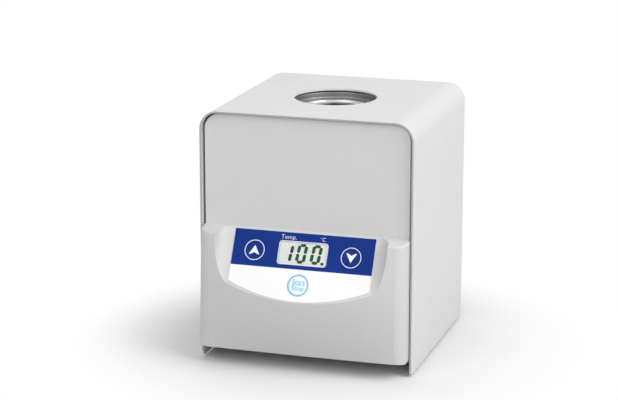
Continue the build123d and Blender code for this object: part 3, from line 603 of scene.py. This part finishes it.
def on_console(x=0.0, up=0.0, out=0.0):
    """A plane on the console: x to the right, y up its slope and z out of it."""
    axes = Matrix((Vector((1, 0, 0)), CONSOLE_UP, CONSOLE_OUT)).transposed().to_4x4()
    offset = Vector((1, 0, 0)) * x + CONSOLE_UP * up + CONSOLE_OUT * out
    axes.translation = CONSOLE_ORIGIN + offset * MM
    return axes


def circle(x, y, radius, count=64):
    turns = [2 * math.pi * step / count for step in range(count)]
    return [(x + radius * math.cos(turn), y + radius * math.sin(turn)) for turn in turns]


def ring(radii, count=64):
    """Two circles, of which the inner one is a hole."""
    return [circle(0, 0, radius, count) for radius in radii]


def rounded(width, height, corner, count=6):
    """A rectangle with round corners."""
    loop = []
    for quarter, (side, top) in enumerate(((1, 1), (-1, 1), (-1, -1), (1, -1))):
        for step in range(count + 1):
            turn = math.pi / 2 * (quarter + step / count)
            loop.append((
                side * (width / 2 - corner) + corner * math.cos(turn),
                top * (height / 2 - corner) + corner * math.sin(turn),
            ))
    return loop


def bar(start, end, width, count=6):
    """A straight stroke with round ends."""
    along = math.atan2(end[1] - start[1], end[0] - start[0])
    loop = []
    for centre, first in ((end, along - math.pi / 2), (start, along + math.pi / 2)):
        for step in range(count + 1):
            turn = first + math.pi * step / count
            loop.append((centre[0] + width / 2 * math.cos(turn), centre[1] + width / 2 * math.sin(turn)))
    return loop


def printed(name, loops, place, material, body, thickness=INK):
    """Flat shapes from closed loops, where a loop inside another is a hole."""
    curve = bpy.data.curves.new(name, "CURVE")
    curve.dimensions = "2D"
    curve.fill_mode = "BOTH"
    curve.extrude = thickness * MM / 2
    for loop in loops:
        spline = curve.splines.new("POLY")
        spline.points.add(len(loop) - 1)
        for point, (x, y) in zip(spline.points, loop):
            point.co = (x * MM, y * MM, 0, 1)
        spline.use_cyclic_u = True
    return solid_of(name, curve, place, material, body)


def raised(name, loops, place, material, body):
    """Flat shapes of ink that may overlap, each loop a thin plate of its own."""
    form = bmesh.new()
    for loop in loops:
        skin(form, [
            [form.verts.new((x * MM, y * MM, side * INK * MM / 2)) for x, y in loop] for side in (-1, 1)
        ])
    return piece_of(name, form, material, body, place)


def lettering(name, words, size, place, material, body, weight):
    """Plain generic words of a size in mm, centred on their place; weight thickens their strokes."""
    text = bpy.data.curves.new(name, "FONT")
    text.body = words
    text.size = size * MM
    text.align_x = "CENTER"
    text.align_y = "CENTER"
    text.extrude = INK * MM / 2
    text.offset = weight * MM
    text.resolution_u = 4
    return solid_of(name, text, place, material, body)


def solid_of(name, curve, place, material, body):
    helper = bpy.data.objects.new(name + "_helper", curve)
    mesh = bpy.data.meshes.new_from_object(helper)
    bpy.data.objects.remove(helper)
    return add_piece(name, mesh, material, body, place)


# What is printed on the console's film and keys

def key_print():
    """A ring round each key's edge, an arrowhead in the two blue ones, and the words in the white one."""
    out = KEY_TOP + INK / 2
    for key, spot, turned in (("up_key", UP_KEY, 1), ("down_key", DOWN_KEY, -1)):
        place = on_console(*spot, out)
        head = [(x * turned, y * turned) for x, y in ARROWHEAD]
        printed(key + "_ring", ring(BLUE_KEY_RING), place, white_ink, key)
        printed(key + "_arrow", [head], place, white_ink, key)
    x, up = START_STOP_KEY
    place = on_console(x, up, out)
    line = bar((-KEY_LINE_REACH, 0), (KEY_LINE_REACH, 0), KEY_LINE_WIDTH)
    printed("start_stop_ring", ring(WHITE_KEY_RING), place, cyan_ink, "start_stop_key")
    printed("start_stop_line", [line], place, cyan_ink, "start_stop_key")
    for name, word, rise in (("start_word", "Start", KEY_WORD_RISE), ("stop_word", "Stop", -KEY_WORD_RISE)):
        place = on_console(x, up + rise, out)
        lettering(name, word, KEY_WORD_SIZE, place, cyan_ink, "start_stop_key", KEY_WORD_WEIGHT)


def film_print():
    """The window's pale frame and the two words above it."""
    out = FILM_TOP + INK / 2
    width, height = WINDOW
    outer_corner, inner_corner = WINDOW_CORNERS
    outline = rounded(width + WINDOW_LINE, height + WINDOW_LINE, outer_corner)
    opening = rounded(width, height, inner_corner)
    printed("window_frame", [outline, opening], on_console(0, WINDOW_UP, out), white_ink, "housing")
    for name, (words, size, x) in (("temperature_word", TEMPERATURE_WORD), ("celsius_sign", CELSIUS_SIGN)):
        place = on_console(x, FILM_WORD_UP, out)
        lettering(name, words, size, place, white_ink, "housing", FILM_WORD_WEIGHT)


def display_plate():
    """The thin pale plate that lies in the display's shallow recess."""
    width, height = WINDOW
    outline = rounded(width - PLATE_MARGIN, height - PLATE_MARGIN, PLATE_CORNER)
    place = on_console(0, WINDOW_UP, -DISPLAY_DEPTH + DISPLAY_PLATE / 2)
    piece = printed("display_plate", [outline], place, materials["display_grey"], "housing", DISPLAY_PLATE)


def display_digits():
    """Three leaning seven-segment digits and a point, dark green on the display's face."""
    slant = UPRIGHT_LEAN * UPRIGHT_REACH
    loops = [
        bar((x - slant, y - UPRIGHT_REACH), (x + slant, y + UPRIGHT_REACH), UPRIGHT_WIDTH)
        for x, y in UPRIGHT_STROKES
    ]
    loops += [bar((x - LEVEL_REACH, y), (x + LEVEL_REACH, y), LEVEL_WIDTH) for x, y in LEVEL_STROKES]
    loops.append(circle(*POINT_PLACE, POINT_RADIUS, count=20))
    place = on_console(*DIGITS_SHIFT, -DISPLAY_DEPTH + DISPLAY_PLATE + INK / 2)
    raised("display_digits", loops, place, green_ink, "housing")


# The front panel's folded sides

def panel_returns():
    """The front panel's two side edges, folded back to stiffen it, with a small bend at the panel."""
    low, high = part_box("chassis")
    front = low.y / MM + SHEET
    profile = [(0, 0), (0, RETURN_DEPTH), (-SHEET, RETURN_DEPTH), (-SHEET, RETURN_BEND)]
    for turn in BEND_TURNS:
        bend_x = -SHEET - RETURN_BEND + RETURN_BEND * math.cos(turn)
        profile.append((bend_x, RETURN_BEND - RETURN_BEND * math.sin(turn)))
    profile.append((-SHEET - RETURN_BEND, 0))
    bottom, top = RETURN_SPAN
    levels = (
        (bottom, LOWER_END_SHARE, 0),
        (bottom + RETURN_CHAMFER, 1, 0),
        (top - RETURN_CHAMFER, 1, 0),
        (top, UPPER_END_SHARE, UPPER_END_LEAN),
    )
    for name, side, edge in (("panel_return_left", -1, low.x), ("panel_return_right", 1, high.x)):
        form = bmesh.new()
        rings = []
        for z, share, lean in levels:
            rings.append([
                form.verts.new((
                    edge + side * (x - RETURN_GAP - lean) * MM,
                    (front + y * share) * MM,
                    z * MM,
                ))
                for x, y in profile
            ])
        skin(form, rings)
        bmesh.ops.recalc_face_normals(form, faces=form.faces[:])
        piece = piece_of(name, form, materials["white_coat"], "housing")


# The beads: the loose top layers of the fill

def bead_spots():
    """Places of the beads: three loose layers that rise a little towards the middle of the well."""
    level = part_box("bead_bed")[1].z / MM - BEAD_HEAP
    spots = []
    for layer, (reach, sink) in enumerate(BEAD_LAYERS):
        rows = int(2 * reach / (BEAD_PITCH * BEAD_ROW)) + 1
        for row in range(rows):
            y = -reach + row * BEAD_PITCH * BEAD_ROW
            x = -reach + (BEAD_PITCH / 2 if (row + layer) % 2 else 0.0)
            while x <= reach:
                spot_x = x + random.uniform(-BEAD_SCATTER, BEAD_SCATTER)
                spot_y = y + random.uniform(-BEAD_SCATTER, BEAD_SCATTER)
                radius = math.hypot(spot_x, spot_y)
                if radius < reach - BEAD_MARGIN and random.random() > BEADS_MISSING * layer:
                    heap = BEAD_HEAP * (1 - radius / WELL_RADIUS)
                    z = level + heap - sink + random.uniform(-BEAD_RISE, BEAD_RISE)
                    spots.append((spot_x, WELL_Y + spot_y, z))
                x += BEAD_PITCH
    return spots


def glass_beads():
    """All loose beads as one piece of small balls of slightly different sizes."""
    ball = bmesh.new()
    bmesh.ops.create_icosphere(ball, subdivisions=2, radius=BEAD_RADIUS * MM)
    corners = [vertex.co.copy() for vertex in ball.verts]
    faces = [[vertex.index for vertex in face.verts] for face in ball.faces]
    ball.free()
    vertices = []
    polygons = []
    for spot in bead_spots():
        first = len(vertices)
        size = random.uniform(*BEAD_SIZES)
        vertices += [corner * size + Vector(spot) * MM for corner in corners]
        polygons += [[first + index for index in face] for face in faces]
    mesh = bpy.data.meshes.new("glass_beads")
    mesh.from_pydata(vertices, [], polygons)
    mesh.polygons.foreach_set("use_smooth", [True] * len(polygons))
    piece = add_piece("glass_beads", mesh, materials["beads_glass"], "housing")


# The screws at the back: domed pan heads with a cross recess

def pan_screws(name, node, centres, head, shank):
    """Screws that stand for a node's plain ones: domed heads at the given centres, facing the back."""
    facing = Vector((0, 0, 1)).rotation_difference(Vector((0, 1, 0))).to_matrix().to_4x4()
    places = [Matrix.Translation(Vector(centre)) @ facing for centre in centres]
    radius, height = head
    shank_radius, shank_length = shank
    profile = [(shank_radius, -shank_length), (shank_radius, 0)]
    for step in range(DOME_STEPS):
        rise = math.sin(math.pi / 2 * step / (DOME_STEPS - 1))
        profile.append((radius * (1 - DOME_DRAW_IN * rise ** 3), height * rise))
    form = bmesh.new()
    for place in places:
        skin(form, [
            [
                form.verts.new(place @ Vector((x * MM, y * MM, level * MM)))
                for x, y in circle(0, 0, ring_radius, SCREW_SIDES)
            ]
            for ring_radius, level in profile
        ])
    bmesh.ops.recalc_face_normals(form, faces=form.faces[:])
    piece = piece_of(name, form, materials["zinc_steel"], "housing")
    cut_crosses(piece, places, radius, height)
    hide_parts(node)


def cut_crosses(piece, places, radius, height):
    """Cuts a cross recess, two crossed slots, into the top of each head."""
    length_share, width_share, depth_share = RECESS_SHARES
    size = Matrix.Diagonal((
        radius * length_share * MM, radius * width_share * MM, height * depth_share * MM, 1,
    ))
    for place in places:
        for quarter in (0, math.pi / 2):
            slot = bmesh.new()
            bmesh.ops.create_cube(slot, size=1.0)
            turn = Matrix.Rotation(quarter + RECESS_TURN, 4, "Z")
            top = Matrix.Translation((0, 0, height * MM))
            bmesh.ops.transform(slot, matrix=place @ turn @ top @ size, verts=slot.verts)
            cut_away(piece, slot)


def cut_away(piece, form):
    """Takes a bmesh out of a piece, and leaves no modifier on it."""
    mesh = bpy.data.meshes.new("cutter")
    form.to_mesh(mesh)
    form.free()
    cutter = bpy.data.objects.new("cutter", mesh)
    bpy.context.scene.collection.objects.link(cutter)
    cut = piece.modifiers.new("recess", "BOOLEAN")
    cut.operation = "DIFFERENCE"
    cut.solver = "EXACT"
    cut.object = cutter
    bpy.context.view_layer.update()
    evaluated = piece.evaluated_get(bpy.context.evaluated_depsgraph_get())
    result = bpy.data.meshes.new_from_object(evaluated)
    piece.modifiers.clear()
    piece.data = result
    bpy.data.objects.remove(cutter)


def rear_screws():
    """The screws in the cover's returns and in the inlet's ears."""
    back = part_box("outer_cover")[1].y
    places = [
        (x * MM, back, z * MM) for x in (-COVER_SCREW_X, COVER_SCREW_X) for z in COVER_SCREW_HEIGHTS
    ]
    pan_screws("cover_screws_crossed", "cover_screws", places, COVER_SCREW_HEAD, COVER_SCREW_SHANK)
    low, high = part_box("mains_inlet")
    middle = (low.x + high.x) / 2
    places = [(middle + side * INLET_SCREW_X * MM, high.y, INLET_HEIGHT * MM) for side in (-1, 1)]
    pan_screws("inlet_screws_crossed", "inlet_screws", places, INLET_SCREW_HEAD, INLET_SCREW_SHANK)


def switch_marks():
    """A line and a ring on the rocker's two halves, each square to its own half of the dished face."""
    pivot = Vector((SWITCH_X * MM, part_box("chassis")[1].y + SWITCH_PROUD * MM, SWITCH_HEIGHT * MM))
    rocker = Matrix.Translation(pivot) @ Matrix.Rotation(-ROCKER_TILT, 4, "Z")
    facing = Matrix((Vector((-1, 0, 0)), Vector((0, 0, 1)), Vector((0, 1, 0)))).transposed().to_4x4()
    for name, side, loops in (
        ("switch_on_mark", -1, [bar((0, -ON_REACH), (0, ON_REACH), ON_WIDTH)]),
        ("switch_off_mark", 1, ring(OFF_RING, count=32)),
    ):
        half = Matrix.Translation(Vector((side * MARK_ACROSS, MARK_OUT, 0)) * MM)
        place = rocker @ half @ Matrix.Rotation(side * ROCKER_TILT, 4, "Z") @ facing
        printed(name, loops, place, white_ink, "power_rocker", MARK_THICKNESS)


# The room: a pale floor, soft lamps and the camera

def seen_as_background(tree):
    """1 for rays from the camera, or that a glossy or clear surface sends on, 0 for soft light."""
    ray = tree.nodes.new("ShaderNodeLightPath").outputs
    glossy = calculate(tree, "MAXIMUM", ray["Is Camera Ray"], ray["Is Glossy Ray"])
    return calculate(tree, "MAXIMUM", glossy, ray["Is Transmission Ray"])


def mixed(tree, factor, first, second):
    """One surface where the factor is 0, and another where it is 1."""
    mix = tree.nodes.new("ShaderNodeMixShader")
    tree.links.new(factor, mix.inputs["Fac"])
    tree.links.new(first, mix.inputs[1])
    tree.links.new(second, mix.inputs[2])
    return mix.outputs[0]


def pale_floor():
    """A pale floor that keeps the object's shadow near it and runs out to white."""
    bpy.ops.mesh.primitive_plane_add(size=FLOOR_SIZE, location=(0, 0, 0))
    floor = bpy.context.object
    floor.name = "floor"
    material, tree, near = new_material("pale_floor", FLOOR_PALE, roughness=0.9)
    near.inputs["Specular IOR Level"].default_value = 0.0
    white = add_node(tree, "ShaderNodeEmission", Color=opaque(1), Strength=1.0)
    fade = add_node(tree, "ShaderNodeMapRange")
    fade.interpolation_type = "SMOOTHSTEP"
    fade.inputs["From Min"].default_value, fade.inputs["From Max"].default_value = FLOOR_FADE
    tree.links.new(length_of(tree, place_of(tree)), fade.inputs["Value"])
    seen = mixed(tree, fade.outputs[0], near.outputs[0], white.outputs[0])
    soft = add_node(tree, "ShaderNodeBsdfDiffuse", Color=opaque(FLOOR_BOUNCE))
    whole = mixed(tree, seen_as_background(tree), soft.outputs[0], seen)
    tree.links.new(whole, tree.nodes["Material Output"].inputs["Surface"])
    floor.data.materials.append(material)


def white_room():
    """A room that looks white, and lights the object a little from all sides."""
    world = bpy.data.worlds.new("studio")
    bpy.context.scene.world = world
    world.use_nodes = True
    tree = world.node_tree
    background = tree.nodes["Background"]
    background.inputs["Color"].default_value = opaque(1)
    strength = add_node(tree, "ShaderNodeMapRange", To_Min=ROOM_LIGHT, To_Max=1.0)
    tree.links.new(seen_as_background(tree), strength.inputs["Value"])
    tree.links.new(strength.outputs[0], background.inputs["Strength"])


def softbox(name, place, size, power):
    """A square lamp that looks at the middle of the object."""
    light = bpy.data.lights.new(name, "AREA")
    light.size = size
    light.energy = power
    lamp = bpy.data.objects.new(name, light)
    lamp.location = place
    aim = LAMP_TARGET - Vector(place)
    lamp.rotation_mode = "QUATERNION"
    lamp.rotation_quaternion = aim.to_track_quat("-Z", "Y")
    bpy.context.scene.collection.objects.link(lamp)
    return lamp


def soft_lamps():
    """The key and fill lamps, and a low one behind the object that polished surfaces don't mirror."""
    softbox("key_light", *KEY_LAMP)
    softbox("fill_light", *FILL_LAMP)
    softbox("back_light", *BACK_LAMP).visible_glossy = False


def photo_camera():
    camera = bpy.data.objects.new("camera", bpy.data.cameras.new("camera"))
    bpy.context.scene.collection.objects.link(camera)
    camera.location = CAMERA_PLACE
    camera.rotation_mode = "QUATERNION"
    camera.rotation_quaternion = CAMERA_LOOK.to_track_quat("-Z", "Y")
    camera.data.sensor_width = CAMERA_SENSOR
    camera.data.lens = CAMERA_LENS
    camera.data.clip_start, camera.data.clip_end = CAMERA_RANGE
    bpy.context.scene.camera = camera


key_print()
film_print()
display_plate()
display_digits()
panel_returns()
glass_beads()
rear_screws()
switch_marks()
pale_floor()
white_room()
soft_lamps()
photo_camera()
bpy.context.scene.view_settings.view_transform = "Standard"
